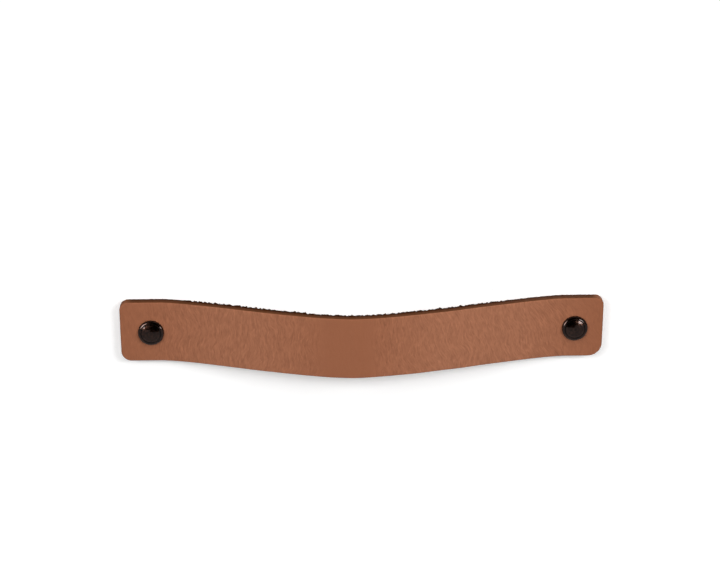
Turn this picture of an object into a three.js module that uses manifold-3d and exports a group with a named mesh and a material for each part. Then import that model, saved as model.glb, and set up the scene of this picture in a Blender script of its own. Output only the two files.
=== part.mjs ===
// A leather strap pull for a drawer or cabinet door: a die-cut strip of thick leather, bent into a bow
// and held at each end by a black cap nut and a machine screw that comes through the drawer front.
//
// Millimetres. The drawer front is the plane y = 0. X runs along the strap, +Z is up, and the strap
// bows out towards -Y. The origin lies midway between the two screws, on the drawer front.

import * as THREE from "three";
import { mergeVertices } from "three/addons/utils/BufferGeometryUtils.js";
import Module from "manifold-3d";

// The strap, as it is cut flat
const strapLength = 200;
const strapWidth = 25.4;
const strapThickness = 4;
const leftHoleInset = 12.4; // from the end of the strap to the middle of its hole
const rightHoleInset = 11.5;
const topLeftCorner = 3.5; // corner radii
const bottomLeftCorner = 4;
const topRightCorner = 3.2;
const bottomRightCorner = 5.5;
const grainEdgeRounding = 0.6; // radius along the edge of the smooth side

// The bow
const bowHeight = 19.8; // from the drawer front to the back of the strap, where it stands out most
const bowLean = 4.1; // how far along the leather that place lies to the left of the middle
const clampReach = 4; // how far from its middle a cap holds the leather flat
const slopeLead = 0.76; // below 1, the bow is steepest nearer to the screws than to its peak
const slopeSpread = 0.48; // below 1, the slope is even for longer, with tighter bends at its ends

// The cap nuts
const capDiameter = 10.4;
const capRimHeight = 0.8; // the upright side of the rim
const capBevelWidth = 1.1; // the rounded part of the rim, seen from the front
const capBevelHeight = 0.8;
const capGrooveWidth = 0.18; // the fine step between the bevel and the face
const capGrooveDepth = 0.12;
const capDomeHeight = 0.55; // how much the middle of the face stands out from its edge
const postDiameter = 5.5;
const postSetback = 0.5; // from the end of the post to the drawer front
const boreDepthInCap = 0.9;

// The machine screws
const screwDiameter = 4;
const screwHeadDiameter = 8;
const screwHeadHeight = 3.1;
const screwHeadRounding = 1.6; // height of the domed part of the head
const screwTipChamfer = 0.5;
const recessSpan = 4.4; // across the wings of the driver recess, at the top of the head
const recessWing = 1; // width of one wing there
const recessDepth = 2;
const recessTaper = 0.5; // size at the bottom of the recess, of the size at its top
const drawerFrontThickness = 16;

// Clearances
const punchClearance = 0.3; // all round the post, in the punched hole
const seatClearance = 0.3; // between the cap and the leather
const threadClearance = 0.15; // all round the screw, in the post
const tipClearance = 0.8; // from the end of the screw to the end of the bore

// Smoothness
const bowSteps = 40;
const edgeSteps = 3;
const cornerSteps = 3;
const middleSteps = 3;
const roundSegments = 40;
const domeSteps = 5;
const rimSteps = 3;

const wasm = await Module();
wasm.setup();

// A three.js geometry as a closed solid that can be joined and cut.
function solidFrom(geometry) {
  const bare = geometry.clone();
  bare.deleteAttribute("normal");
  bare.deleteAttribute("uv");
  const merged = mergeVertices(bare);
  return new wasm.Manifold(
    new wasm.Mesh({
      numProp: 3,
      vertProperties: merged.getAttribute("position").array,
      triVerts: new Uint32Array(merged.getIndex().array),
    }),
  );
}

// The way back: a solid as a three.js geometry with its own face normals.
function geometryFrom(solid) {
  const mesh = solid.getMesh();
  const geometry = new THREE.BufferGeometry();
  geometry.setAttribute("position", new THREE.BufferAttribute(mesh.vertProperties, 3));
  geometry.setIndex(new THREE.BufferAttribute(mesh.triVerts, 1));
  const faceted = geometry.toNonIndexed();
  faceted.computeVertexNormals();
  return faceted;
}

// The bow. The leather is held flat under each cap, then rises at once, runs out in a long even slope
// and turns over where the bow stands out most. The middle of its thickness keeps its length when it is
// bent, so the leather between the holes decides how far apart the screws are.
const halfFreeLength = (strapLength - leftHoleInset - rightHoleInset) / 2;
const leftBow = makeBow(halfFreeLength - bowLean);
const rightBow = makeBow(halfFreeLength + bowLean);
const screwX = (leftBow.reach + rightBow.reach) / 2; // left and right of the origin

// The slope at a distance from the screw that is measured along the leather. It rises and falls between
// the clamped part and the peak like a sine that is drawn towards the screw and flattened at its top.
function slopeAt(length, steepest, fromScrew) {
  const share = Math.max(fromScrew - clampReach, 0) / (length - clampReach);
  return steepest * Math.max(Math.sin(Math.PI * share ** slopeLead), 0) ** slopeSpread;
}

// How far along and how far out a bow of this length and steepest slope comes at that distance.
function walkBow(length, steepest, fromScrew) {
  const steps = 64;
  const step = fromScrew / steps;
  let along = 0;
  let out = 0;
  for (let i = 0; i < steps; i++) {
    const slope = slopeAt(length, steepest, (i + 0.5) * step);
    along += Math.cos(slope) * step;
    out += Math.sin(slope) * step;
  }
  return { along, out };
}

// One side of the bow. The slope that takes it to its height is found by halving the range it can be in.
function makeBow(length) {
  const halvings = 50;
  let low = 0;
  let high = Math.PI / 2;
  for (let i = 0; i < halvings; i++) {
    const middle = (low + high) / 2;
    if (walkBow(length, middle, length).out < bowHeight) low = middle;
    else high = middle;
  }
  return { length, steepest: low, reach: walkBow(length, low, length).along };
}

// Where a point of the flat strap goes. fromLeft is measured along the strap from its left end, and
// depth from the smooth front face towards the back.
function bend(fromLeft, depth) {
  const fromPeak = fromLeft - leftHoleInset - leftBow.length;
  const side = fromPeak < 0 ? -1 : 1;
  const bow = side < 0 ? leftBow : rightBow;
  const fromScrew = bow.length - Math.abs(fromPeak);
  if (fromScrew <= 0) return { x: side * (screwX - fromScrew), y: depth - strapThickness };
  const { along, out } = walkBow(bow.length, bow.steepest, fromScrew);
  const slope = slopeAt(bow.length, bow.steepest, fromScrew);
  const forward = strapThickness / 2 - depth;
  return {
    x: side * (screwX - along + Math.sin(slope) * forward),
    y: -strapThickness / 2 - out - Math.cos(slope) * forward,
  };
}

// Distances from one edge of the strap inwards, close together where the edge and the corners are round.
function edgeStations(cornerRadius) {
  const stations = [];
  for (let i = 0; i < edgeSteps; i++) stations.push((grainEdgeRounding * i) / edgeSteps);
  for (let i = 0; i <= cornerSteps; i++)
    stations.push(THREE.MathUtils.lerp(grainEdgeRounding, cornerRadius, i / cornerSteps));
  return stations;
}

// Evenly spaced steps between two stations, without the two themselves.
function stationsBetween(start, end, steps) {
  const stations = [];
  for (let i = 1; i < steps; i++) stations.push(THREE.MathUtils.lerp(start, end, i / steps));
  return stations;
}

// Moves a point of the square blank onto its rounded corner, and gives how far inside the outline the
// point lies and which way the nearest edge is.
function roundCorner(along, up) {
  const right = along > strapLength / 2;
  const top = up > strapWidth / 2;
  const fromEnd = right ? strapLength - along : along;
  const fromSide = top ? strapWidth - up : up;
  let radius = right ? bottomRightCorner : bottomLeftCorner;
  if (top) radius = right ? topRightCorner : topLeftCorner;
  const endward = new THREE.Vector2(right ? 1 : -1, 0);
  const sideward = new THREE.Vector2(0, top ? 1 : -1);
  if (fromEnd >= radius) return { point: new THREE.Vector2(along, up), inside: fromSide, outward: sideward };
  if (fromSide >= radius) return { point: new THREE.Vector2(along, up), inside: fromEnd, outward: endward };

  // squares about the corner's centre become quarter circles, with even steps of angle
  const a = radius - fromEnd;
  const b = radius - fromSide;
  const reach = Math.max(a, b);
  const eighth = Math.PI / 4;
  const angle = a >= b ? eighth * (b / a) : 2 * eighth - eighth * (a / b);
  const outward = endward.multiplyScalar(Math.cos(angle)).add(sideward.multiplyScalar(Math.sin(angle)));
  const centre = new THREE.Vector2(
    right ? strapLength - radius : radius,
    top ? strapWidth - radius : radius,
  );
  return { point: outward.clone().multiplyScalar(reach).add(centre), inside: radius - reach, outward };
}

// Rounds the edge of the smooth side, by the same rule of squares and circles.
function roundGrainEdge(inside, depth) {
  const a = grainEdgeRounding - inside;
  const b = grainEdgeRounding - depth;
  if (a <= 0 || b <= 0) return { inset: 0, depth };
  const eighth = Math.PI / 4;
  const reach = Math.max(a, b);
  const angle = a >= b ? eighth * (b / a) : 2 * eighth - eighth * (a / b);
  return {
    inset: a - reach * Math.cos(angle),
    depth: grainEdgeRounding - reach * Math.sin(angle),
  };
}

function makeStrap() {
  const leftStations = edgeStations(Math.max(topLeftCorner, bottomLeftCorner));
  const rightStations = edgeStations(Math.max(topRightCorner, bottomRightCorner));
  const leftHole = leftHoleInset;
  const rightHole = strapLength - rightHoleInset;
  const along = [
    ...leftStations,
    leftHole,
    ...stationsBetween(leftHole, rightHole, bowSteps),
    rightHole,
    ...rightStations.map((station) => strapLength - station).reverse(),
  ];
  const bottomStations = edgeStations(Math.max(bottomLeftCorner, bottomRightCorner));
  const topStations = edgeStations(Math.max(topLeftCorner, topRightCorner));
  const across = [
    ...bottomStations,
    ...stationsBetween(bottomStations.at(-1), strapWidth - topStations.at(-1), middleSteps),
    ...topStations.map((station) => strapWidth - station).reverse(),
  ];
  const roundedDepths = stationsBetween(0, grainEdgeRounding, edgeSteps);
  const through = [0, ...roundedDepths, grainEdgeRounding, strapThickness];

  // a block of unit cells, whose whole-number places are then looked up in the stations
  const cells = [along.length - 1, through.length - 1, across.length - 1];
  const blank = new THREE.BoxGeometry(...cells, ...cells);
  const position = blank.getAttribute("position");
  for (let i = 0; i < position.count; i++) {
    const start = roundCorner(
      along[Math.round(position.getX(i) + cells[0] / 2)],
      across[Math.round(position.getZ(i) + cells[2] / 2)],
    );
    const depth = through[Math.round(position.getY(i) + cells[1] / 2)];
    const edge = roundGrainEdge(start.inside, depth);
    const flat = start.point.addScaledVector(start.outward, -edge.inset);
    const bent = bend(flat.x, edge.depth);
    position.setXYZ(i, bent.x, bent.y, flat.y - strapWidth / 2);
  }

  const holeRadius = postDiameter / 2 + punchClearance;
  const punch = new THREE.CylinderGeometry(holeRadius, holeRadius, 4 * strapThickness, roundSegments);
  const leftPunch = punch.clone().translate(-screwX, 0, 0);
  const rightPunch = punch.clone().translate(screwX, 0, 0);
  return geometryFrom(solidFrom(blank).subtract(solidFrom(leftPunch)).subtract(solidFrom(rightPunch)));
}

// The cap nut is turned in one piece: face, rim and post. Its profile runs round from the middle of the
// face to the end of the blind bore, as radius and distance out from the drawer front.
const capSeat = strapThickness + seatClearance;
const capFaceRadius = capDiameter / 2 - capBevelWidth - capGrooveWidth;
const capFaceEdge = capSeat + capRimHeight + capBevelHeight;
const boreEnd = capSeat + boreDepthInCap;

function makeCapNut() {
  const profile = [];
  const domeRadius = (capFaceRadius ** 2 + capDomeHeight ** 2) / (2 * capDomeHeight);
  for (let i = 0; i <= domeSteps; i++) {
    const radius = (capFaceRadius * i) / domeSteps;
    const drop = domeRadius - Math.sqrt(domeRadius ** 2 - radius ** 2);
    profile.push([radius, capFaceEdge + capDomeHeight - drop]);
  }
  const rimRadius = capDiameter / 2;
  const postRadius = postDiameter / 2;
  const boreRadius = screwDiameter / 2 + threadClearance;
  profile.push(
    [capFaceRadius + capGrooveWidth / 2, capFaceEdge - capGrooveDepth],
    [rimRadius - capBevelWidth, capFaceEdge],
  );
  for (let i = rimSteps - 1; i >= 0; i--) {
    const angle = ((Math.PI / 2) * i) / rimSteps;
    profile.push([
      rimRadius - capBevelWidth * (1 - Math.cos(angle)),
      capFaceEdge - capBevelHeight * (1 - Math.sin(angle)),
    ]);
  }
  profile.push(
    [rimRadius, capSeat],
    [postRadius, capSeat],
    [postRadius, postSetback],
    [boreRadius, postSetback],
    [boreRadius, boreEnd],
    [0, boreEnd],
  );
  const points = profile.map(([radius, out]) => new THREE.Vector2(radius, -out));
  return new THREE.LatheGeometry(points, roundSegments);
}

// The screw's profile runs from its tip to the top of its head, as radius and distance from the
// drawer front, with the head behind it.
const screwTip = -(boreEnd - tipClearance);

function makeScrew() {
  const shank = screwDiameter / 2;
  const head = screwHeadDiameter / 2;
  const headTop = drawerFrontThickness + screwHeadHeight;
  const profile = [
    [0, screwTip],
    [shank - screwTipChamfer, screwTip],
    [shank, screwTip + screwTipChamfer],
    [shank, drawerFrontThickness],
    [head, drawerFrontThickness],
  ];
  for (let i = 0; i <= domeSteps; i++) {
    const angle = ((Math.PI / 2) * i) / domeSteps;
    profile.push([head * Math.cos(angle), headTop - screwHeadRounding * (1 - Math.sin(angle))]);
  }
  profile.at(-1)[0] = 0;
  const points = profile.map(([radius, y]) => new THREE.Vector2(radius, y));
  const body = solidFrom(new THREE.LatheGeometry(points, roundSegments));
  return geometryFrom(body.subtract(driverRecess(headTop)));
}

// Two tapered wings crossed at right angles. Each is a four-sided cone that ends above the head, where
// it is wider than at the top of the head by the same taper.
function driverRecess(headTop) {
  const above = recessDepth / 4;
  const bottom = recessTaper;
  const top = 1 + ((1 - recessTaper) * above) / recessDepth;
  const height = recessDepth + above;
  const wing = new THREE.CylinderGeometry(top * Math.SQRT1_2, bottom * Math.SQRT1_2, height, 4);
  wing.rotateY(Math.PI / 4);
  wing.scale(recessSpan, 1, recessWing);
  wing.translate(0, headTop + above - height / 2, 0);
  const crossWing = wing.clone().rotateY(Math.PI / 2);
  return solidFrom(wing).add(solidFrom(crossWing));
}

const leather = new THREE.MeshStandardMaterial({ color: 0x9a6245, roughness: 0.62, metalness: 0 });
const blackNickel = new THREE.MeshStandardMaterial({ color: 0x231c1a, roughness: 0.3, metalness: 1 });
const zincPlate = new THREE.MeshStandardMaterial({ color: 0xb9bcc0, roughness: 0.35, metalness: 1 });

function addMesh(name, geometry, material, x) {
  const mesh = new THREE.Mesh(geometry, material.clone());
  mesh.name = name;
  mesh.position.x = x;
  pull.add(mesh);
}

const pull = new THREE.Group();
addMesh("strap", makeStrap(), leather, 0);
const capNut = makeCapNut();
const screw = makeScrew();
for (const [side, x] of [
  ["left", -screwX],
  ["right", screwX],
]) {
  addMesh(`${side}_cap_nut`, capNut.clone(), blackNickel, x);
  addMesh(`${side}_screw`, screw.clone(), zincPlate, x);
}

export default pull;
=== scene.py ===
import math

import bpy
import numpy as np
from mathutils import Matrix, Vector, noise


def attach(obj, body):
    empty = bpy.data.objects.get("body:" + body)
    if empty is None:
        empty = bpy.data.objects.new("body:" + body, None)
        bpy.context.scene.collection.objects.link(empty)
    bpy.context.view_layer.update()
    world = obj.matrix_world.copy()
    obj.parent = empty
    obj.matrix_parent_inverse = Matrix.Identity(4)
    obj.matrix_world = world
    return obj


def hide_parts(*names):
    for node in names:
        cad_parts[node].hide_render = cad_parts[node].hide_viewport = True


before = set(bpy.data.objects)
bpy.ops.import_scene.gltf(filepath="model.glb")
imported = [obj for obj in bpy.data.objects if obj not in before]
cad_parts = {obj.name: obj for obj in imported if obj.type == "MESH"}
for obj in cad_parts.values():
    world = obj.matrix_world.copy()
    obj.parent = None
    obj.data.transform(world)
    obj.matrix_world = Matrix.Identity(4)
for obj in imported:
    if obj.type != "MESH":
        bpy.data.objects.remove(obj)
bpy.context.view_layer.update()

mm = 0.001

# STRAP
# One strip of 10 oz vegetable-tanned leather, die-cut with rounded corners, its grain edge rubbed round
# and two holes punched in it, then bent into a bow. The long cut edges and the flesh side stay fibrous.
# It is laid out flat, in metres from its left end, its bottom edge and its grain side, and then bent.

strap_length = 200 * mm
strap_width = 25.4 * mm
strap_thickness = 4 * mm
left_hole = 12.4 * mm
right_hole = strap_length - 11.5 * mm
hole_radius = 3.05 * mm
grain_edge_rounding = 0.6 * mm
corner_radii = {"top_left": 3.5, "bottom_left": 4.0, "top_right": 3.2, "bottom_right": 5.5}

# where the lines of the grid lie, as number of the line and place in millimetres
along_lines = ([0, 5, 20, 32, 650, 662, 673, 678], [0, 0.6, 9.4, 15.4, 185.5, 191.5, 199.4, 200])
across_lines = ([0, 5, 17, 29, 41, 46], [0, 0.6, 9.7, 15.7, 24.8, 25.4])
through_lines = ([0, 5, 13], [0, 0.6, 4])
cells_along, cells_across, cells_through = along_lines[0][-1], across_lines[0][-1], through_lines[0][-1]
punch_half = 3 * mm  # half of the square of cells that is taken out and then rounded to the hole
punch_blend = 6 * mm  # how far from the hole's middle the lines are straight again


def place_of(lines, number):
    """The place of a grid line, in metres."""
    return np.interp(number, *lines) * mm


def vertex_places(piece):
    places = np.empty(len(piece.data.vertices) * 3)
    piece.data.vertices.foreach_get("co", places)
    return places.reshape(-1, 3)


def move_vertices(piece, places):
    piece.data.vertices.foreach_set("co", places.ravel())
    piece.data.update()


def new_piece(name, points, edges, faces):
    mesh = bpy.data.meshes.new(name)
    mesh.from_pydata(points, edges, faces)
    piece = bpy.data.objects.new(name, mesh)
    bpy.context.scene.collection.objects.link(piece)
    return piece


def pick(*pieces):
    """Selects these pieces and nothing else, and makes the last of them the active one."""
    bpy.ops.object.select_all(action="DESELECT")
    for piece in pieces:
        piece.select_set(True)
    bpy.context.view_layer.objects.active = pieces[-1]


def face_outwards(piece):
    """Turns all faces of a closed piece outwards."""
    pick(piece)
    bpy.ops.object.mode_set(mode="EDIT")
    bpy.ops.mesh.select_all(action="SELECT")
    bpy.ops.mesh.normals_make_consistent(inside=False)
    bpy.ops.object.mode_set(mode="OBJECT")


def select_faces(piece, test):
    """Selects the faces whose middle passes the test, and nothing else, and stays in edit mode."""
    bpy.ops.object.mode_set(mode="OBJECT")
    mesh = piece.data
    mesh.vertices.foreach_set("select", [False] * len(mesh.vertices))
    mesh.edges.foreach_set("select", [False] * len(mesh.edges))
    mesh.polygons.foreach_set("select", [bool(test(face.center)) for face in mesh.polygons])
    bpy.ops.object.mode_set(mode="EDIT")
    bpy.ops.mesh.select_mode(type="FACE")


def select_edges(piece, test):
    """Selects the edges whose two ends pass the test, and nothing else, and stays in edit mode."""
    bpy.ops.object.mode_set(mode="OBJECT")
    mesh = piece.data
    places = [vertex.co for vertex in mesh.vertices]
    mesh.vertices.foreach_set("select", [False] * len(mesh.vertices))
    mesh.polygons.foreach_set("select", [False] * len(mesh.polygons))
    picked = [bool(test(places[edge.vertices[0]], places[edge.vertices[1]])) for edge in mesh.edges]
    mesh.edges.foreach_set("select", picked)
    bpy.ops.object.mode_set(mode="EDIT")
    bpy.ops.mesh.select_mode(type="EDGE")


def grid_places(places):
    """Flat place along, across and through the leather of points of the unit block of cells."""
    along = place_of(along_lines, np.round((places[:, 0] + 0.5) * cells_along))
    across = place_of(across_lines, np.round((places[:, 1] + 0.5) * cells_across))
    through = place_of(through_lines, np.round(-places[:, 2] * cells_through))
    return along, across, through


def is_punched(middle):
    along = place_of(along_lines, (middle.x + 0.5) * cells_along)
    across = place_of(across_lines, (middle.y + 0.5) * cells_across)
    from_hole = min(abs(along - left_hole), abs(along - right_hole))
    return max(from_hole, abs(across - strap_width / 2)) < punch_half


bpy.ops.object.select_all(action="DESELECT")
bpy.ops.mesh.primitive_grid_add(x_subdivisions=cells_along, y_subdivisions=cells_across, size=1)
strap = bpy.context.object
strap.name = "leather_strap"
select_faces(strap, is_punched)
bpy.ops.mesh.delete(type="FACE")
bpy.ops.mesh.select_all(action="SELECT")
bpy.ops.mesh.extrude_region_move(TRANSFORM_OT_translate={"value": (0, 0, -1)})
select_edges(strap, lambda start, end: abs(start.z - end.z) > 0.5)
bpy.ops.mesh.subdivide(number_cuts=cells_through - 1)
bpy.ops.object.mode_set(mode="OBJECT")


def even_angle(a, b):
    """Turns squares about a centre into circles: the angle that a point of the square (a, b) takes."""
    eighth = math.pi / 4
    reach = np.maximum(np.maximum(a, b), 1e-12)  # never zero, so that it can divide
    return np.where(a >= b, eighth * b / reach, 2 * eighth - eighth * a / reach)


def round_corners(along, across):
    """Rounds the four corners of the blank. Also gives how far inside the outline each point lies and
    which way the nearest edge is."""
    right = along > strap_length / 2
    top = across > strap_width / 2
    from_end = np.where(right, strap_length - along, along)
    from_side = np.where(top, strap_width - across, across)
    radius = np.select(
        [right & top, right & ~top, ~right & top],
        [corner_radii["top_right"], corner_radii["bottom_right"], corner_radii["top_left"]],
        corner_radii["bottom_left"],
    ) * mm
    endward = np.where(right, 1.0, -1.0)
    sideward = np.where(top, 1.0, -1.0)
    a, b = radius - from_end, radius - from_side
    corner = (a > 0) & (b > 0)
    angle = even_angle(a, b)
    reach = np.maximum(a, b)
    out_along = np.where(corner, endward * np.cos(angle), np.where(from_side < from_end, 0, endward))
    out_across = np.where(corner, sideward * np.sin(angle), np.where(from_side < from_end, sideward, 0))
    centre_along = np.where(right, strap_length - radius, radius)
    centre_across = np.where(top, strap_width - radius, radius)
    inside = np.where(corner, radius - reach, np.minimum(from_end, from_side))
    along = np.where(corner, centre_along + out_along * reach, along)
    across = np.where(corner, centre_across + out_across * reach, across)
    return along, across, inside, out_along, out_across


def round_holes(along, across):
    """Turns the squares of cells about each hole into circles that fade back into the straight grid."""
    for hole in (left_hole, right_hole):
        a, b = along - hole, across - strap_width / 2
        reach = np.maximum(abs(a), abs(b))
        near = reach < punch_blend
        angle = even_angle(abs(a), abs(b))
        radius = reach * hole_radius / punch_half
        straight = np.clip((reach - punch_half) / (punch_blend - punch_half), 0, 1)
        circle_a = np.sign(a) * np.cos(angle) * radius
        circle_b = np.sign(b) * np.sin(angle) * radius
        along = np.where(near, hole + circle_a * (1 - straight) + a * straight, along)
        across = np.where(near, strap_width / 2 + circle_b * (1 - straight) + b * straight, across)
    return along, across


def round_grain_edge(inside, through):
    """How far in the rubbed edge lies, and its new depth."""
    a, b = grain_edge_rounding - inside, grain_edge_rounding - through
    rounded = (a > 0) & (b > 0)
    angle = even_angle(a, b)
    reach = np.maximum(a, b)
    inset = np.where(rounded, a - reach * np.cos(angle), 0)
    depth = np.where(rounded, grain_edge_rounding - reach * np.sin(angle), through)
    return inset, depth


# The leather is held flat under each cap, then rises at once, runs out in a long even slope and turns
# over where the bow stands out most. The middle of its thickness keeps its length.
bow_height = 19.8 * mm
bow_lean = 4.1 * mm
clamp_reach = 4 * mm  # how far from its middle a cap holds the leather flat
slope_lead = 0.76  # below 1, the bow is steepest nearer to the screws than to its peak
slope_spread = 0.48  # below 1, the slope is even for longer, with tighter bends at its ends
half_free_length = (right_hole - left_hole) / 2


def slope_shape(from_screw, length):
    """The slope at a distance from the screw, as a share of the steepest slope of that side."""
    share = np.clip(from_screw - clamp_reach, 0, None) / (length - clamp_reach)
    return np.clip(np.sin(math.pi * share**slope_lead), 0, 1) ** slope_spread


def make_bow(length):
    """One side of the bow, as tables by distance from its screw: along, out from the drawer and slope."""
    steps = 800
    from_screw = np.linspace(0, length, steps + 1)
    middles = (from_screw[1:] + from_screw[:-1]) / 2
    low, high = 0.0, math.pi / 2
    for _ in range(50):
        steepest = (low + high) / 2
        slope = steepest * slope_shape(middles, length)
        if np.sum(np.sin(slope)) * length / steps < bow_height:
            low = steepest
        else:
            high = steepest
    along = np.concatenate([[0], np.cumsum(np.cos(slope))]) * length / steps
    out = np.concatenate([[0], np.cumsum(np.sin(slope))]) * length / steps
    return from_screw, along, out, steepest * slope_shape(from_screw, length)


left_bow = make_bow(half_free_length - bow_lean)
right_bow = make_bow(half_free_length + bow_lean)
screw_x = (left_bow[1][-1] + right_bow[1][-1]) / 2


def bend(along, across, through):
    """Where points of the flat strap go, in the row frame."""
    from_peak = along - left_hole - left_bow[0][-1]
    bent = []
    for side, (table, reach, rise, slopes) in ((-1, left_bow), (1, right_bow)):
        from_screw = table[-1] - abs(from_peak)
        on_bow = np.clip(from_screw, 0, None)
        slope = np.interp(on_bow, table, slopes)
        forward = strap_thickness / 2 - through
        x = screw_x - np.interp(on_bow, table, reach) + np.sin(slope) * forward - np.minimum(from_screw, 0)
        y = -strap_thickness / 2 - np.interp(on_bow, table, rise) - np.cos(slope) * forward
        bent.append((side * x, y))
    left = from_peak < 0
    x = np.where(left, bent[0][0], bent[1][0])
    y = np.where(left, bent[0][1], bent[1][1])
    return np.stack([x, y, across - strap_width / 2], axis=1)


def patches(along, across, through, size, seed):
    """Smooth noise between -1 and 1 over the flat strap. size is that of a patch along, across and
    through it, in millimetres."""
    scale = Vector((1000 / size[0], 1000 / size[1], 1000 / size[2]))
    shift = Vector((seed * 17.3, seed * 5.1, seed * 9.7))
    points = zip(along.tolist(), across.tolist(), through.tolist())
    return np.array([noise.noise(Vector(point) * scale + shift) for point in points])


def fade(value, start, end):
    """0 before start, 1 after end, and smooth between."""
    t = np.clip((value - start) / (end - start), 0, 1)
    return t * t * (3 - 2 * t)


# The grain has fine wavy creases across the strap, a millimetre or two apart, everywhere but at the top
# of the bow, where the leather is drawn smooth. On the right slope they lean. The slopes are paler, partly
# from flexing and partly from painted sheen: light falling on the slopes, put into the colour.
crease_height = 0.06 * mm
crease_lean = 0.42
lean_start = (104 * mm, 130 * mm)
smooth_part = (77 * mm, 87 * mm, 101 * mm, 109 * mm)
smooth_ends = (7 * mm, 20 * mm)
crease_drift = 2.2 * mm
crease_wobble = 0.55 * mm
pale_sheen_places = [0, 14, 28, 42, 60, 76, 88, 100, 114, 132, 165, 184, 200]  # millimetres along
paleness_and_sheen = [0.15, 0.3, 0.6, 0.8, 0.8, 0.5, 0.2, 0.2, 0.6, 1, 1, 0.5, 0.05]  # at those places


def between(value, rise_start, rise_end, fall_start, fall_end):
    """0 outside and 1 inside, and smooth where it rises and falls."""
    return fade(value, rise_start, rise_end) * (1 - fade(value, fall_start, fall_end))


def flexed_and_sheen(along):
    """How much paler the grain is, up to 1 on the two slopes of the bow: partly flexed leather, partly
    painted sheen where light falls on the slopes.
    """
    return np.interp(along / mm, pale_sheen_places, paleness_and_sheen)


def from_nearer_end(along):
    return np.minimum(along, strap_length - along)


def textured(along):
    """How strong the creases and the grain are: weaker at the ends and almost gone on top of the bow."""
    ends = 0.45 + 0.55 * fade(from_nearer_end(along), *smooth_ends)
    return ends * (1 - 0.85 * between(along, *smooth_part))


def creases(along, across):
    """How high the folds stand, from -1 to 1, and the place along the strap that they bend to."""
    flat = np.zeros_like(along)
    drift = patches(along, across, flat, (14, 9, 1), 1) * crease_drift
    wobble = patches(along, across, flat, (3.4, 2.8, 1), 5) * crease_wobble
    lean = crease_lean * fade(along, *lean_start) + 0.25 * patches(along, across, flat, (30, 60, 1), 2)
    warped = along + drift + wobble + lean * (across - strap_width / 2)
    wide_folds = patches(warped, across, flat, (1.0, 4.6, 1), 3)
    narrow_folds = patches(warped, across, flat, (0.6, 2.2, 1), 4)
    return wide_folds + 0.6 * narrow_folds, warped


# The cut edge is clean at the ends, where it is also burnished, and rough between them. The flesh side has
# a nap, which is pressed flat under the caps.
fibre_height = 0.50 * mm
tuft_height = 0.05 * mm
wave_height = 0.09 * mm
nap_depth = 0.14 * mm
rough_part = (22 * mm, 30 * mm, 148 * mm, 172 * mm)
flat_nap = (16 * mm, 24 * mm)
burnished_end = (2.0 * mm, 5.5 * mm)


def roughness_along(along):
    """How rough the cut edge is, up to 1."""
    return 0.12 + 0.88 * between(along, *rough_part)


# The caps press the leather flat, and it swells by the width of the seat gap to meet them.
seat_swell = 0.28 * mm
seat_radius = 5.2 * mm
swell_end = 7.6 * mm

# A faint line is pressed into the grain just inside the outline of both ends.
line_inset = 1.35 * mm
line_width = 0.16 * mm
line_depth = 0.028 * mm
line_reach = (9 * mm, 20 * mm)

along, across, through = grid_places(vertex_places(strap))
along, across, inside, out_along, out_across = round_corners(along, across)
along, across = round_holes(along, across)
inset, depth = round_grain_edge(inside, through)
along = along - out_along * inset
across = across - out_across * inset

on_grain = 1 - fade(depth, 0.2 * mm, 0.6 * mm)
folds, warped = creases(along, across)
folds = folds * textured(along)
relief = on_grain * crease_height * folds

swell = np.zeros_like(along)
for hole, bow in ((left_hole, left_bow), (right_hole, right_bow)):
    from_hole = np.hypot(along - hole, across - strap_width / 2)
    towards_bow = (along - hole) * (1 if hole == left_hole else -1)
    risen = np.interp(np.clip(towards_bow, 0, None), bow[0], bow[2])
    pressed = 1 - fade(from_hole, seat_radius, swell_end)
    swell += (seat_swell - np.minimum(risen, seat_swell)) * pressed
relief += on_grain * swell

end_line = np.exp(-(((inside - line_inset) / line_width) ** 2))
near_ends = 1 - fade(from_nearer_end(along), *line_reach)
relief -= line_depth * end_line * near_ends * on_grain

cut = (1 - fade(inside, 0.05 * mm, 0.45 * mm)) * fade(depth, 0.6 * mm, 1.6 * mm)
fleshy = fade(depth, 2.0 * mm, 3.7 * mm)
edge_lumps = patches(along, across, depth, (0.72, 0.72, 1.3), 6)
edge_tufts = patches(along, across, depth, (0.5, 0.5, 0.6), 7)
edge_waves = patches(along, across, depth, (9, 9, 20), 8)
ragged = np.clip(0.15 + edge_lumps * 1.1 + edge_tufts * 0.75, -0.35, 1.1)
outward = cut * roughness_along(along) * (fleshy * fibre_height * ragged + tuft_height * edge_tufts)
outward += wave_height * edge_waves * roughness_along(along) * (1 - fade(inside, 0.5 * mm, 3 * mm))
nap = np.abs(patches(along, across, depth, (1.1, 1.1, 1), 9))
nap += 0.6 * np.abs(patches(along, across, depth, (0.5, 0.5, 1), 10))
on_flesh = fade(depth, 3.7 * mm, strap_thickness)
flat_back = 1 - fade(from_nearer_end(along), *flat_nap)
sunk = on_flesh * nap * nap_depth * (1 - 0.7 * flat_back)

strap_along = along + out_along * outward
strap_across = across + out_across * outward
strap_depth = depth - relief - sunk
move_vertices(strap, bend(strap_along, strap_across, strap_depth))
face_outwards(strap)


def keep_attribute(piece, name, values, kind="FLOAT"):
    """Stores one number or one vector for each vertex, for the materials to read."""
    attribute = piece.data.attributes.new(name, kind, "POINT")
    attribute.data.foreach_set("vector" if kind == "FLOAT_VECTOR" else "value", np.ravel(values))


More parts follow.
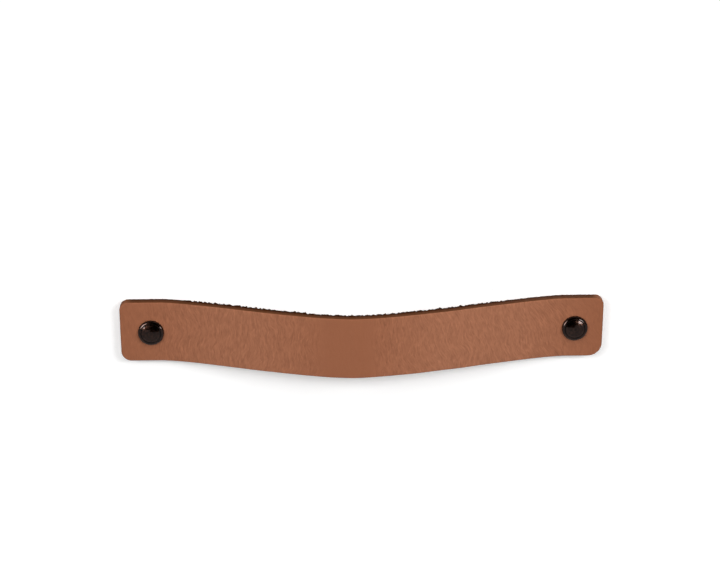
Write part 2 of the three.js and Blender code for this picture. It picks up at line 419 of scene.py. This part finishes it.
keep_attribute(strap, "flat", np.stack([along, across, depth], axis=1), "FLOAT_VECTOR")
keep_attribute(strap, "inside", np.clip(inside / mm, 0, 5))
keep_attribute(strap, "depth", depth / strap_thickness)
keep_attribute(strap, "creased", np.stack([warped, across, depth], axis=1), "FLOAT_VECTOR")
keep_attribute(strap, "crease", folds)
keep_attribute(strap, "flex_sheen", flexed_and_sheen(along))
keep_attribute(strap, "textured", textured(along))
keep_attribute(strap, "burnish", 1 - fade(from_nearer_end(along), *burnished_end))
keep_attribute(strap, "rough", roughness_along(along))

# Loose fibres stand out from the flesh side's edge. One is modelled as a bent, three-sided cone, and
# copied along both long edges, more of them where the edge is rough.
draw = np.random.default_rng(11)
fibre_count = 1500
fibre_length = (0.2 * mm, 0.6 * mm)
fibre_radius = (0.03 * mm, 0.08 * mm)
fibre_clear = 3 * mm  # from each end of the strap
fibre_root_depth = (0.7, 0.99)  # as shares of the thickness of the leather
fibre_root_inset = 0.12 * mm
widest_corner = max(corner_radii.values()) * mm

bpy.ops.object.select_all(action="DESELECT")
bpy.ops.mesh.primitive_cone_add(vertices=3, radius1=1, radius2=0.12, depth=1, location=(0, 0, 0.5))
one_fibre = bpy.context.object
bpy.ops.object.transform_apply(location=True)
select_edges(one_fibre, lambda start, end: abs(start.z - end.z) > 0.5)
bpy.ops.mesh.subdivide(number_cuts=1)
bpy.ops.object.mode_set(mode="OBJECT")
shape = vertex_places(one_fibre)
faces = [list(face.vertices) for face in one_fibre.data.polygons]
bpy.data.objects.remove(one_fibre)

root_along = draw.uniform(fibre_clear, strap_length - fibre_clear, fibre_count)
root_side = draw.choice([-1.0, 1.0], fibre_count)
root_depth = draw.uniform(*fibre_root_depth, fibre_count) * strap_thickness
kept = draw.uniform(0, 1, fibre_count) < roughness_along(root_along)
root_along, root_side, root_depth = root_along[kept], root_side[kept], root_depth[kept]
number = len(root_along)
length = draw.uniform(*fibre_length, number)
thickness = draw.uniform(*fibre_radius, number)[:, None]
lean_along = draw.normal(0, 0.7, number)
lean_back = draw.normal(0.1, 0.45, number)
curl = draw.normal(0, 0.5, (number, 2))
in_corner = np.clip(widest_corner - from_nearer_end(root_along), 0, None)
root_inset = fibre_root_inset + in_corner**2 / (2 * widest_corner)
edge_across = strap_width / 2 + root_side * (strap_width / 2 - root_inset)

rise = shape[None, :, 2] * length[:, None]
bent_share = shape[None, :, 2] ** 2 * length[:, None]
width_a = shape[None, :, 0] * thickness
width_b = shape[None, :, 1] * thickness
fibre_along = root_along[:, None] + width_a + rise * lean_along[:, None] * 0.5 + bent_share * curl[:, :1]
fibre_across = edge_across[:, None] + root_side[:, None] * rise
fibre_depth = root_depth[:, None] + width_b + rise * lean_back[:, None] * 0.4
fibre_depth = np.minimum(fibre_depth + bent_share * curl[:, 1:] * 0.5, strap_thickness)
fibre_along, fibre_across, fibre_depth = fibre_along.ravel(), fibre_across.ravel(), fibre_depth.ravel()
fibre_faces = [[corner + i * len(shape) for corner in face] for i in range(number) for face in faces]

bent_fibres = bend(fibre_along, fibre_across, fibre_depth).tolist()
fibres = new_piece("edge_fibres", bent_fibres, [], fibre_faces)
flat_fibres = np.stack([fibre_along, fibre_across, fibre_depth], axis=1)
for name in ("flat", "creased"):
    keep_attribute(fibres, name, flat_fibres, "FLOAT_VECTOR")
fibre_values = {"inside": 0.0, "depth": 0.9, "crease": 0.0, "flex_sheen": 0.0, "textured": 0.0, "rough": 1.0}
for name, value in fibre_values.items():
    keep_attribute(fibres, name, np.full(len(fibre_along), value))
face_outwards(fibres)
pick(fibres, strap)
bpy.ops.object.join()
bpy.ops.object.shade_smooth()


class Wire:
    """What comes out of a node. Sums, products and the like on it add the nodes that work them out:
    Math nodes for values, and Vector Math nodes for vectors and colours."""

    def __init__(self, socket):
        self.socket = socket

    def join(self, operation, first, second=None):
        both = [item.socket if isinstance(item, Wire) else item for item in (first, second)]
        vector = any(getattr(item, "type", "VALUE") in ("VECTOR", "RGBA") for item in both)
        node = self.socket.id_data.nodes.new("ShaderNodeVectorMath" if vector else "ShaderNodeMath")
        node.operation = operation
        for item, socket in zip(both, node.inputs):
            if isinstance(item, bpy.types.NodeSocket):
                self.socket.id_data.links.new(item, socket)
            elif item is not None:
                socket.default_value = (item,) * 3 if vector and isinstance(item, (int, float)) else item
        return Wire(node.outputs[0])

    def __add__(self, other):
        return self.join("ADD", self, other)

    def __sub__(self, other):
        return self.join("SUBTRACT", self, other)

    def __rsub__(self, other):
        return self.join("SUBTRACT", other, self)

    def __mul__(self, other):
        return self.join("MULTIPLY", self, other)

    def __truediv__(self, other):
        return self.join("DIVIDE", self, other)

    def __pow__(self, other):
        return self.join("POWER", self, other)

    __radd__, __rmul__ = __add__, __mul__


class Nodes:
    """The nodes of one material or world."""

    def __init__(self, owner):
        owner.use_nodes = True
        self.tree = owner.node_tree

    def add(self, kind, settings=None, sockets=None, output=0):
        """Adds a node, sets it up, then gives its sockets their values or links. Gives one output."""
        node = self.tree.nodes.new("ShaderNode" + kind)
        settings = dict(settings or {})
        stops = settings.pop("stops", None)
        for name, value in settings.items():
            setattr(node, name, value)
        if stops:
            ramp = node.color_ramp.elements
            while len(ramp) < len(stops):
                ramp.new(1)
            for element, (position, colour) in zip(ramp, stops):
                element.position = position
                element.color = colour
        self.feed(node, sockets or {})
        return Wire(node.outputs[output])

    def feed(self, node, sockets):
        for name, value in sockets.items():
            if isinstance(value, Wire):
                self.tree.links.new(value.socket, node.inputs[name])
            else:
                node.inputs[name].default_value = value

    def step(self, value, start, end):
        """0 before start, 1 after end, and smooth between."""
        settings = {"interpolation_type": "SMOOTHSTEP"}
        return self.add("MapRange", settings, {"Value": value, "From Min": start, "From Max": end})

    def stored(self, name, output="Fac"):
        """A number that keep_attribute has stored, or a vector with the output called Vector."""
        return self.add("Attribute", {"attribute_name": name}, None, output)

    def mix(self, share, first, second):
        """A colour that goes from the first to the second with share. On colours, a Mix node takes them
        at its sockets 6 and 7 and gives its result at 2."""
        settings = {"data_type": "RGBA"}
        return self.add("Mix", settings, {"Factor": share, 6: first, 7: second}, 2)

    def noise(self, place, scale, detail=2, roughness=0.5):
        sockets = {"Vector": place, "Scale": scale, "Detail": detail, "Roughness": roughness}
        return self.add("TexNoise", None, sockets)


def new_finish(name):
    """A material with its nodes and its surface shader."""
    finish = bpy.data.materials.new(name)
    nodes = Nodes(finish)
    return finish, nodes, nodes.tree.nodes["Principled BSDF"]


leather, nodes, surface = new_finish("cognac_leather")
grain_colour = (0.287, 0.1045, 0.0518, 1)
# The pale grain colour is partly flexed leather and partly painted sheen: lighter and greyer, as light
# falling on the slopes makes it.
grain_pale_sheen = (0.356, 0.1440, 0.0780, 1)
# The cut edge colours are partly the leather's own darker cut edge and partly painted shade, for the
# little light that an edge facing up or down gets; they are darkest towards the flesh side.
edge_colour_and_shade = (0.138, 0.046, 0.014, 1)
edge_deep_colour_and_shade = (0.076, 0.019, 0.004, 1)
fibre_colour_and_shade = (0.022, 0.005, 0.001, 1)
burnished_colour = (0.30, 0.110, 0.052, 1)
flesh_colour = (0.205, 0.105, 0.056, 1)

flat = nodes.stored("flat", "Vector")
deep = nodes.stored("depth")
inner = nodes.stored("inside")
fold = nodes.stored("crease")
creased = nodes.stored("creased", "Vector")
flex_and_sheen_here = nodes.stored("flex_sheen")
textured_here = nodes.stored("textured")
rough_edge = nodes.stored("rough")
burnish = nodes.stored("burnish")

clouds = nodes.noise(flat, 160, 3, 0.55)
mottle = nodes.noise(flat, 620, 3, 0.6)
pores = nodes.noise(flat, 2600, 2, 0.5)
pebbles = nodes.add("TexVoronoi", {"feature": "DISTANCE_TO_EDGE"}, {"Vector": flat, "Scale": 1500})

fine_folds = nodes.noise(creased * (1.0, 0.22, 1.0), 1900, 3, 0.6)
# Long fold lines carry painted shade: each line is lighter on one side and darker on the other, as light
# across a fold falls.
long_folds = nodes.noise(creased * (1.0, 0.17, 1.0), 640, 2, 0.5) - 0.5
line = 1 - nodes.step(nodes.add("Math", {"operation": "ABSOLUTE"}, {0: long_folds}), 0.02, 0.10)
lit_side = nodes.step(long_folds, -0.05, 0.05) - 0.5
# On the slopes the grain takes the pale colour, which is partly flexed leather and partly painted sheen.
grain = nodes.mix(flex_and_sheen_here, grain_colour, grain_pale_sheen)
# Painted shade of the creases: the colour is lighter on their ridges and fine folds and darker in their
# hollows, as light across them would fall.
painted_fold_shade = fold * 0.11 + ((fine_folds - 0.5) * 0.66 + line * lit_side * 0.24) * textured_here
cloud_tone = (clouds - 0.5) * 0.07 + (mottle - 0.5) * textured_here * 0.14
grain = grain * (1 + painted_fold_shade + cloud_tone + (pores - 0.5) * 0.06)

fibre_noise = nodes.noise(flat * (1.0, 1.0, 0.35), 2400, 4, 0.65)
# The edge darkens with depth to a near-black line on its rough part: partly its own colour, partly painted
# shade.
edge = nodes.mix(nodes.step(deep, 0.0, 0.95), edge_colour_and_shade, edge_deep_colour_and_shade)
edge_dark = nodes.step(deep + (fibre_noise - 0.5) * 0.5, 0.45, 1.0)
edge = nodes.mix(edge_dark * (0.25 + nodes.step(rough_edge, 0.1, 0.8) * 0.65), edge, fibre_colour_and_shade)
edge = edge * (0.75 + fibre_noise * 0.5)
edge = nodes.mix(burnish * 0.75, edge, burnished_colour)
flesh = nodes.mix(nodes.step(nodes.noise(flat, 900, 4, 0.7), 0.3, 0.7), flesh_colour, edge_colour_and_shade)
on_cut = nodes.step(deep, 0.05, 0.11)
on_back = nodes.step(deep, 0.93, 0.99) * nodes.step(inner, 0.1, 0.9)
colour = nodes.mix(on_cut, grain, edge)
colour = nodes.mix(on_back, colour, flesh)

dull = 0.50 + (mottle - 0.5) * 0.16 + on_cut * 0.42
relief_fine = pores * 0.35 + nodes.step(pebbles, 0.0, 0.35) * 0.35 + fine_folds * textured_here * 0.8
relief_rough = fibre_noise * 3 + nodes.noise(flat, 5200, 2, 0.6)
height = relief_fine * (1 - on_cut) + relief_rough * on_cut
bump = nodes.add("Bump", None, {"Height": height, "Strength": 0.35, "Distance": 0.00012})
nodes.feed(surface, {"Base Color": colour, "Roughness": dull, "Normal": bump, "Specular IOR Level": 0.13})
strap.data.materials.clear()
strap.data.materials.append(leather)

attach(strap, "root")
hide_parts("strap")

# CAP NUTS
# Each is turned from brass in one piece, face, rim and internally threaded post, and plated with black
# nickel. The face is domed and set off from the rounded rim by a fine groove. The post goes through the
# punched hole.

cap_radius = 5.2 * mm
cap_seat = 4.3 * mm  # from the drawer front
cap_rim = 0.8 * mm  # upright side of the rim
cap_bevel_width = 1.1 * mm
cap_bevel_height = 0.8 * mm
groove_width = 0.18 * mm
groove_depth = 0.12 * mm
dome_height = 0.55 * mm
post_radius = 2.75 * mm
post_end = 0.5 * mm
bore_radius = 2.15 * mm
bore_end = cap_seat + 0.9 * mm
small_edge = 0.1 * mm
merge_distance = 0.001 * mm


def new_outline(name, profile):
    """A line through the points (radius, y) of a profile."""
    points = [(radius, y, 0) for radius, y in profile]
    return new_piece(name, points, [(i, i + 1) for i in range(len(points) - 1)], [])


def turned(name, profile, steps):
    """Spins a profile of (radius, y) about the Y axis into a closed solid."""
    piece = new_outline(name, profile)
    pick(piece)
    bpy.ops.object.mode_set(mode="EDIT")
    bpy.ops.mesh.select_all(action="SELECT")
    bpy.ops.mesh.spin(steps=steps, angle=2 * math.pi, center=(0, 0, 0), axis=(0, 1, 0))
    bpy.ops.mesh.select_all(action="SELECT")
    bpy.ops.mesh.remove_doubles(threshold=merge_distance)
    bpy.ops.mesh.normals_make_consistent(inside=False)
    bpy.ops.object.mode_set(mode="OBJECT")
    return piece


face_radius = cap_radius - cap_bevel_width - groove_width
face_edge = cap_seat + cap_rim + cap_bevel_height
dome_radius = (face_radius**2 + dome_height**2) / (2 * dome_height)
profile = []
for radius in np.linspace(0, face_radius, 16):
    drop = dome_radius - math.sqrt(dome_radius**2 - radius**2)
    profile.append((radius, -(face_edge + dome_height - drop)))
for share in (0.25, 0.5, 0.75):
    sink = groove_depth * math.sin(math.pi * share)
    profile.append((face_radius + groove_width * share, -(face_edge - sink)))
for angle in np.linspace(math.pi / 2, 0, 13):
    radius = cap_radius - cap_bevel_width * (1 - math.cos(angle))
    profile.append((radius, -(face_edge - cap_bevel_height * (1 - math.sin(angle)))))
profile += [
    (cap_radius, -(cap_seat + small_edge)),
    (cap_radius - small_edge, -cap_seat),
    (post_radius, -cap_seat),
    (post_radius, -(post_end + small_edge)),
    (post_radius - small_edge, -post_end),
    (bore_radius + small_edge, -post_end),
    (bore_radius, -(post_end + small_edge)),
    (bore_radius, -bore_end),
    (0, -bore_end),
]
cap_nut = turned("cap_nut", profile, steps=96)
bpy.ops.object.shade_smooth_by_angle(angle=math.radians(35))
keep_attribute(cap_nut, "turning", vertex_places(cap_nut), "FLOAT_VECTOR")

black_nickel, nodes, surface = new_finish("black_nickel")
nickel_colour = (0.0112, 0.0046, 0.0030, 1)
nickel_worn = (0.034, 0.020, 0.015, 1)
turning = nodes.stored("turning", "Vector")
place = nodes.add("TexCoord", None, None, "Object")
from_axis = nodes.add("VectorMath", {"operation": "LENGTH"}, {0: turning * (1.0, 0.0, 1.0)}, "Value")
ring_place = nodes.add("CombineXYZ", None, {"X": from_axis})
rings = nodes.noise(ring_place, 1700, 2, 0.6)
mottle = nodes.noise(place, 1100, 3, 0.6)
smudge = nodes.noise(place, 420, 4, 0.6)
scratch = nodes.noise(place * (1.0, 1.0, 0.12), 5200, 2, 0.5)
fine_scratch = nodes.step(scratch, 0.66, 0.74)
grime = nodes.step(smudge, 0.42, 0.72)
nickel = nodes.mix(fine_scratch * 0.5 + grime * 0.22, nickel_colour, nickel_worn)
nickel = nickel * (1 + (rings - 0.5) * 5 + (mottle - 0.5) * 3)
dull = 0.17 + grime * 0.10 + fine_scratch * 0.12
height = rings * 0.5 + scratch * 0.25 + smudge * 0.6
bump = nodes.add("Bump", None, {"Height": height, "Strength": 0.3, "Distance": 0.00006})
nodes.feed(surface, {"Base Color": nickel, "Roughness": dull, "Normal": bump})
nodes.feed(surface, {"Metallic": 1.0, "Coat Weight": 0.2, "Coat Roughness": 0.05})
cap_nut.data.materials.append(black_nickel)


def copied(piece, name, x):
    """A copy of a piece with its own mesh, moved along the strap inside that mesh."""
    twin = bpy.data.objects.new(name, piece.data.copy())
    bpy.context.scene.collection.objects.link(twin)
    places = vertex_places(twin)
    places[:, 0] += x
    move_vertices(twin, places)
    return twin


for side, x in (("left", -screw_x), ("right", screw_x)):
    twin = copied(cap_nut, f"{side}_black_cap_nut", x)
    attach(twin, "root")
    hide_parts(f"{side}_cap_nut")
bpy.data.objects.remove(cap_nut)

# SCREWS
# M4 pan-head machine screws of zinc-plated steel with a cross recess. They come through the drawer front
# from behind and pull the cap nuts tight. The head is turned with a short neck, and the threaded shank is
# a shell of its own that ends inside that neck.

drawer_front = 16 * mm
head_radius = 4.0 * mm
head_height = 3.1 * mm
head_rounding = 1.6 * mm
thread_radius = 2.0 * mm
thread_root = 1.57 * mm
thread_pitch = 0.7 * mm
thread_end = 14.8 * mm
neck_radius = 1.78 * mm
neck_start = thread_end - 0.6 * mm
neck_flare = 0.15 * mm
neck_flare_height = 0.2 * mm
screw_tip = -(bore_end - 0.8 * mm)
tip_chamfer = 0.5 * mm
recess_span = 4.4 * mm
recess_wing = 1.0 * mm
recess_depth = 2.0 * mm
recess_mouth = 1.12  # the wing above the head, as a multiple of its span and width
recess_foot = 0.5  # the bottom of the wing, as a share of what it is above the head

head_top = drawer_front + head_height
profile = [
    (0, neck_start),
    (neck_radius, neck_start),
    (neck_radius, drawer_front - neck_flare_height),
    (neck_radius + neck_flare, drawer_front),
    (head_radius - small_edge, drawer_front),
    (head_radius, drawer_front + small_edge),
]
for angle in np.linspace(0, math.pi / 2, 12)[:-1]:
    radius = head_radius * math.cos(angle)
    profile.append((radius, head_top - head_rounding * (1 - math.sin(angle))))
profile.append((0, head_top))
screw = turned("screw", profile, steps=64)


def apply_modifier(piece, kind, settings):
    modifier = piece.modifiers.new(kind.lower(), kind)
    for name, value in settings.items():
        setattr(modifier, name, value)
    pick(piece)
    bpy.ops.object.modifier_apply(modifier=modifier.name)


# The thread is one pitch of its outline, as radius and share of the pitch, wound up the shank by a Screw
# modifier and cut square at its ends. Its tip is chamfered.
turns = math.ceil((thread_end - screw_tip) / thread_pitch) + 2
start = screw_tip - 1.2 * thread_pitch
one_pitch = [
    (thread_root, 0),
    (thread_root, 0.12),
    (thread_radius, 0.44),
    (thread_radius, 0.56),
    (thread_root, 0.88),
    (thread_root, 1),
]
thread = new_outline("thread", [(radius, start + share * thread_pitch) for radius, share in one_pitch])
wound = {"axis": "Y", "screw_offset": thread_pitch, "iterations": turns, "steps": 32, "render_steps": 32}
apply_modifier(thread, "SCREW", wound)
bpy.ops.object.mode_set(mode="EDIT")
bpy.ops.mesh.select_all(action="SELECT")
bpy.ops.mesh.remove_doubles(threshold=merge_distance)
for height, outer in ((screw_tip, False), (thread_end, True)):
    bpy.ops.mesh.select_all(action="SELECT")
    cut_plane = {"plane_co": (0, height, 0), "plane_no": (0, 1, 0), "use_fill": True}
    bpy.ops.mesh.bisect(clear_outer=outer, clear_inner=not outer, **cut_plane)
bpy.ops.mesh.select_all(action="SELECT")
bpy.ops.mesh.normals_make_consistent(inside=False)
bpy.ops.object.mode_set(mode="OBJECT")
places = vertex_places(thread)
radius = np.hypot(places[:, 0], places[:, 2])
widest = thread_radius - tip_chamfer + np.clip(places[:, 1] - screw_tip, 0, None)
shrink = np.minimum(1, widest / np.maximum(radius, 1e-9))  # points on the axis stay there
places[:, 0] *= shrink
places[:, 2] *= shrink
move_vertices(thread, places)

# The recess is a tapered wing, cut twice at right angles from the head.
for turn in (0, math.pi / 2):
    bpy.ops.object.select_all(action="DESELECT")
    above = recess_depth / 4
    middle = (0, head_top + above - (recess_depth + above) / 2, 0)
    bpy.ops.mesh.primitive_cube_add(size=1, location=middle, rotation=(0, turn, 0))
    wing = bpy.context.object
    wing.scale = (recess_span * recess_mouth, recess_depth + above, recess_wing * recess_mouth)
    bpy.ops.object.transform_apply(location=True, rotation=True, scale=True)
    select_faces(wing, lambda middle: middle.y < head_top - recess_depth + 0.01 * mm)
    bpy.ops.transform.resize(value=(recess_foot, 1, recess_foot))
    bpy.ops.object.mode_set(mode="OBJECT")
    apply_modifier(screw, "BOOLEAN", {"object": wing, "operation": "DIFFERENCE", "solver": "EXACT"})
    bpy.data.objects.remove(wing)

pick(thread, screw)
bpy.ops.object.join()
bpy.ops.object.shade_smooth_by_angle(angle=math.radians(30))

zinc, nodes, surface = new_finish("zinc_plate")
zinc_colour = (0.42, 0.43, 0.45, 1)
zinc_dull = (0.27, 0.28, 0.30, 1)
place = nodes.add("TexCoord", None, None, "Object")
bloom = nodes.noise(place, 700, 4, 0.6)
grit = nodes.noise(place, 6000, 2, 0.5)
plated = nodes.mix(nodes.step(bloom, 0.4, 0.75), zinc_colour, zinc_dull)
dull = 0.26 + (bloom - 0.5) * 0.3 + (grit - 0.5) * 0.12
bump = nodes.add("Bump", None, {"Height": grit + bloom, "Strength": 0.12, "Distance": 0.00005})
nodes.feed(surface, {"Base Color": plated, "Roughness": dull, "Normal": bump, "Metallic": 1.0})
screw.data.materials.clear()
screw.data.materials.append(zinc)

for side, x in (("left", -screw_x), ("right", screw_x)):
    twin = copied(screw, f"{side}_machine_screw", x)
    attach(twin, "root")
    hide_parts(f"{side}_screw")
bpy.data.objects.remove(screw)

# STAGE
# A small white panel hangs just behind the pull, in place of the drawer front, and catches its shadow. It
# is seen from its front alone and ends at the top of the pull, so that it hides little of the screws.
# Below is a pale floor.

floor_height = -0.45
panel_gap = 3 * mm
panel_size = (0.214, 0.080)
panel_top = 0.014


def stage_plane(name, size, location, rotation):
    bpy.ops.object.select_all(action="DESELECT")
    bpy.ops.mesh.primitive_plane_add(size=1, location=location, rotation=rotation)
    sheet = bpy.context.object
    sheet.name = name
    sheet.scale = (*size, 1)
    bpy.ops.object.transform_apply(location=True, rotation=True, scale=True)
    return sheet


upright = (math.pi / 2, 0, 0)
panel = stage_plane("panel", panel_size, (0, panel_gap, panel_top - panel_size[1] / 2), upright)
floor = stage_plane("floor", (30, 30), (0, 0, floor_height), (0, 0, 0))


def looked_at(nodes):
    """1 for what the camera sees, straight, in metal or through glass, and 0 for the light on the pull."""
    path = nodes.add("LightPath").socket.node
    rays = [Wire(path.outputs[f"Is {ray} Ray"]) for ray in ("Camera", "Glossy", "Transmission")]
    return nodes.add("Math", {"operation": "MINIMUM"}, {0: rays[0] + rays[1] + rays[2], 1: 1.0})


def stage_finish(name, paint, glow, one_sided):
    """Matt paint that looks a little brighter to the camera, so that it is white where it is lit."""
    finish = bpy.data.materials.new(name)
    nodes = Nodes(finish)
    nodes.tree.nodes.remove(nodes.tree.nodes["Principled BSDF"])
    matt = nodes.add("BsdfDiffuse", None, {"Color": (paint, paint, paint, 1)})
    glowing = nodes.add("Emission", None, {"Strength": looked_at(nodes) * glow})
    shown = nodes.add("AddShader", None, {0: matt, 1: glowing})
    if one_sided:
        behind = nodes.add("NewGeometry", None, None, "Backfacing")
        shadow = nodes.add("LightPath", None, None, "Is Shadow Ray")
        through = nodes.add("Math", {"operation": "MAXIMUM"}, {0: behind, 1: shadow})
        clear = nodes.add("BsdfTransparent")
        shown = nodes.add("MixShader", None, {0: through, 1: shown, 2: clear})
    nodes.tree.links.new(shown.socket, nodes.tree.nodes["Material Output"].inputs["Surface"])
    return finish


panel.data.materials.append(stage_finish("panel_white", 0.85, 0.31, True))
floor.data.materials.append(stage_finish("floor_white", 0.4, 0.92, False))

# Black flags in front keep the faces of the caps dark, as a photographer would set them: a wide one and
# one that hangs lower in the middle. Only reflections see them.
flag_distance = 0.58
flag_height = 2
flag_black, nodes, surface = new_finish("flag_black")
nodes.feed(surface, {"Base Color": (0.01, 0.01, 0.01, 1), "Roughness": 1.0})
for name, width, bottom in (("wide_flag", 4, -0.08), ("middle_flag", 0.30, -0.16)):
    middle = (0, -flag_distance, bottom + flag_height / 2)
    flag = stage_plane(name, (width, flag_height), middle, upright)
    flag.data.materials.append(flag_black)
    flag.visible_camera = False
    flag.visible_diffuse = False
    flag.visible_transmission = False
    flag.visible_shadow = False

# The world is white to look at and gives a weak even light.
ambient = 0.25
world = bpy.data.worlds.new("studio")
bpy.context.scene.world = world
nodes = Nodes(world)
background = nodes.tree.nodes["Background"]
background.inputs["Color"].default_value = (1, 1, 1, 1)
nodes.feed(background, {"Strength": ambient + looked_at(nodes) * (1 - ambient)})


def soft_box(name, location, size, radiance, lights=True, reflects=True):
    """A lamp that faces the pull, given its width and height and the radiance of its face. It may light
    surfaces, show in their reflections, or both."""
    lamp = bpy.data.lights.new(name, "AREA")
    lamp.shape = "RECTANGLE"
    lamp.size, lamp.size_y = size
    lamp.energy = radiance * math.pi * lamp.size * lamp.size_y
    box = bpy.data.objects.new(name, lamp)
    bpy.context.scene.collection.objects.link(box)
    box.location = location
    box.rotation_euler = (-Vector(location)).to_track_quat("-Z", "Y").to_euler()
    box.visible_camera = False
    box.visible_diffuse = lights
    box.visible_glossy = reflects
    return box


def at(azimuth, elevation, distance):
    """A place seen from the pull: degrees to the right of straight in front, and degrees up."""
    turn, rise = math.radians(azimuth), math.radians(elevation)
    forward = math.cos(rise) * distance
    return (math.sin(turn) * forward, -math.cos(turn) * forward, math.sin(rise) * distance)


# Two wide keys from the sides and a weaker box above light the leather and cast the shadow on the panel.
for name, side_angle, radiance in (("left_key", -28, 17.4), ("right_key", 28, 19.9)):
    soft_box(name, at(side_angle, 25, 0.95), (0.36, 0.17), radiance, reflects=False)
soft_box("top_box", at(0, 50, 0.9), (0.45, 0.45), 2.3, reflects=False)

# Two sparks make the highlights of the caps and reach nothing else.
caps = bpy.data.collections.new("caps")
for side in ("left", "right"):
    caps.objects.link(bpy.data.objects[f"{side}_black_cap_nut"])
for name, location, size, radiance in (
    ("left_spark", (-0.41, -0.50, 0.095), (0.30, 0.28), 32),
    ("right_spark", (0.325, -0.50, 0.040), (0.14, 0.14), 36),
):
    spark = soft_box(name, location, size, radiance, lights=False)
    spark.light_linking.receiver_collection = caps

# One box behind the pull lights its hidden side and the screws.
soft_box("back_box", (0.5, 0.85, 0.14), (0.5, 0.5), 7.5)

# CAMERA
# It stands almost straight in front of the pull and looks down on it by 23 degrees, with a long lens. The
# shift puts the pull where it is in the photograph.

azimuth = -1.60
elevation = 22.81
distance = 0.7899
focal_pixels = 1947.5
image_width, image_height = 720, 577
origin_in_image = (363.11, 325.84)

camera_data = bpy.data.cameras.new("camera")
camera = bpy.data.objects.new("camera", camera_data)
bpy.context.scene.collection.objects.link(camera)
bpy.context.scene.camera = camera
back = Vector(at(azimuth, elevation, 1))
camera.location = back * distance
camera.rotation_euler = (-back).to_track_quat("-Z", "Y").to_euler()
camera_data.lens = focal_pixels * camera_data.sensor_width / image_width
camera_data.shift_x = -(origin_in_image[0] - image_width / 2) / image_width
camera_data.shift_y = (origin_in_image[1] - image_height / 2) / image_width
camera_data.clip_start = 0.01

bpy.context.scene.view_settings.view_transform = "Standard"
